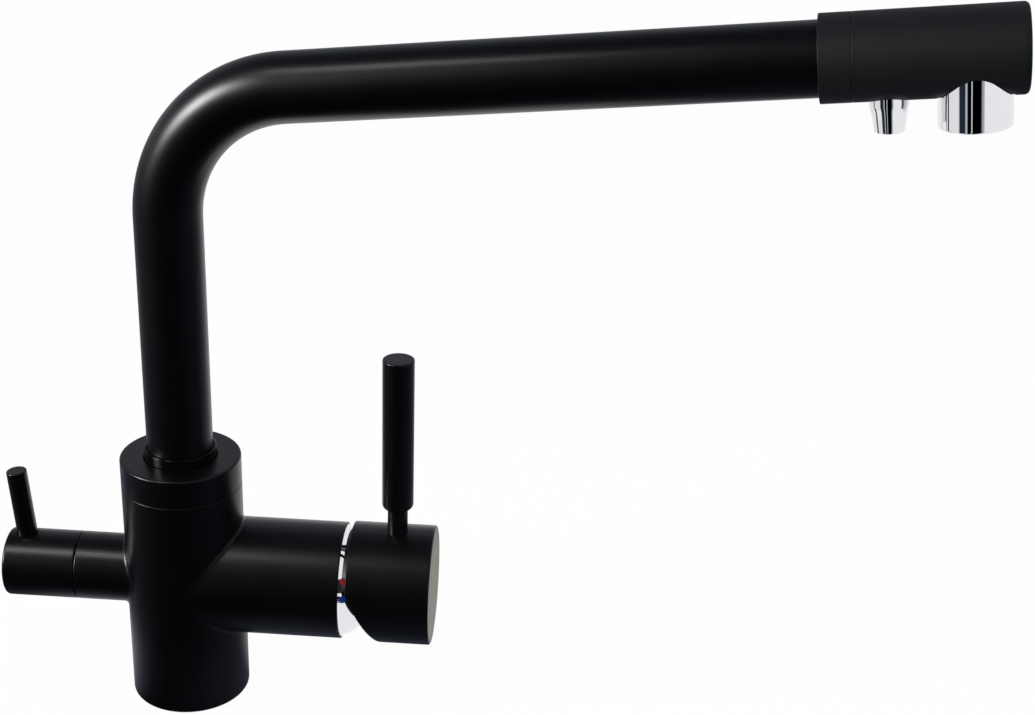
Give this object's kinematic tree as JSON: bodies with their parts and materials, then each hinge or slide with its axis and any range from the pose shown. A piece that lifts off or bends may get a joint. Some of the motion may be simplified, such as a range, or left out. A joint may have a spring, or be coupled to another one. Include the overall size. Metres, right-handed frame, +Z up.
{
  "type": "three way filtered water tap",
  "caption": "Side lever mixer tap for a kitchen sink, with a quarter turn knob for filtered water and a swivelling spout with an outlet for each water.",
  "frame": {"origin": "centre of the column's foot, on the worktop", "axes": "+Z up along the column and the spout's swivel axis, +X outwards along the mixer barrel, -X along the filter barrel, -Y towards the user"},
  "size_m": [0.3585, 0.0777, 0.2987],
  "materials": {
    "coated_black": "satin",
    "head_black": "satin",
    "gloss_black": "gloss",
    "chrome": "polished",
    "brass": "satin",
    "steel": "satin",
    "rubber": "matte",
    "ceramic": "satin",
    "white_acetal": "satin",
    "grey_acetal": "satin",
    "hose_plastic": "satin",
    "red_enamel": "gloss",
    "blue_enamel": "gloss"
  },
  "bodies": {
    "tap_body": {"main_body": "coated_black", "base_seal": "rubber", "spout_collar": "coated_black", "spout_bush": "gloss_black", "slip_ring_lower": "white_acetal", "slip_ring_upper": "white_acetal", "port_seal_mixed": "rubber", "port_seal_hot": "rubber", "port_seal_cold": "rubber", "cartridge_base": "white_acetal", "cartridge_housing": "white_acetal", "fixed_disc": "ceramic", "cartridge_nut": "brass", "dome_ring": "chrome", "hot_index_dot": "red_enamel", "cold_index_dot": "blue_enamel", "filter_seat_seal": "rubber", "filter_fixed_disc": "ceramic", "filter_valve_body": "brass"},
    "spout": {"spout_connector": "brass", "connector_oring_lower": "rubber", "connector_oring_upper": "rubber", "filter_port_oring": "rubber", "spout_tube": "coated_black", "filter_hose": "hose_plastic", "hose_sleeve_lower": "steel", "hose_sleeve_upper": "steel", "head_adaptor": "head_black", "head_shell": "head_black", "head_core": "brass", "head_seal": "rubber", "aerator_housing": "chrome", "aerator_seal": "rubber", "aerator_insert": "grey_acetal", "aerator_grid": "grey_acetal", "filter_nozzle": "chrome", "filter_nozzle_oring": "rubber", "flow_straightener": "grey_acetal"},
    "mixer_turret": {"cartridge_turret": "grey_acetal", "stem_pivot_pin": "steel"},
    "mixer_lever": {"cartridge_stem": "steel", "mixer_handle": "coated_black", "lever_rod": "coated_black", "lever_stud": "steel"},
    "mixer_disc": {"moving_disc": "ceramic", "disc_carrier": "grey_acetal"},
    "filter_control": {"filter_knob": "coated_black", "filter_pin": "coated_black", "filter_spindle": "brass", "filter_moving_disc": "ceramic", "spindle_oring": "rubber", "spindle_clip": "steel"}
  },
  "joints": [
    {"name": "spout_swivel", "type": "hinge", "parent": "tap_body", "child": "spout", "pos_m": [0, 0, 0], "axis": [0, 0, 1], "continuous": true},
    {"name": "mixer_temperature", "type": "hinge", "parent": "tap_body", "child": "mixer_turret", "pos_m": [0.055, 0, 0.052], "axis": [1, 0, 0], "range_deg": [-50, 50]},
    {"name": "mixer_flow", "type": "hinge", "parent": "mixer_turret", "child": "mixer_lever", "pos_m": [0.055, 0, 0.052], "axis": [0, 1, 0], "range_deg": [0, 25]},
    {"name": "disc_slide", "type": "slide", "parent": "mixer_turret", "child": "mixer_disc", "axis": [0, 0, 1], "range_m": [0, 0.0049]},
    {"name": "filter_turn", "type": "hinge", "parent": "tap_body", "child": "filter_control", "pos_m": [-0.055, 0, 0.052], "axis": [1, 0, 0], "range_deg": [0, 90]}
  ],
  "couplings": [
    {"joint": "disc_slide", "follows": "mixer_flow", "m_per_rad": 0.011}
  ]
}
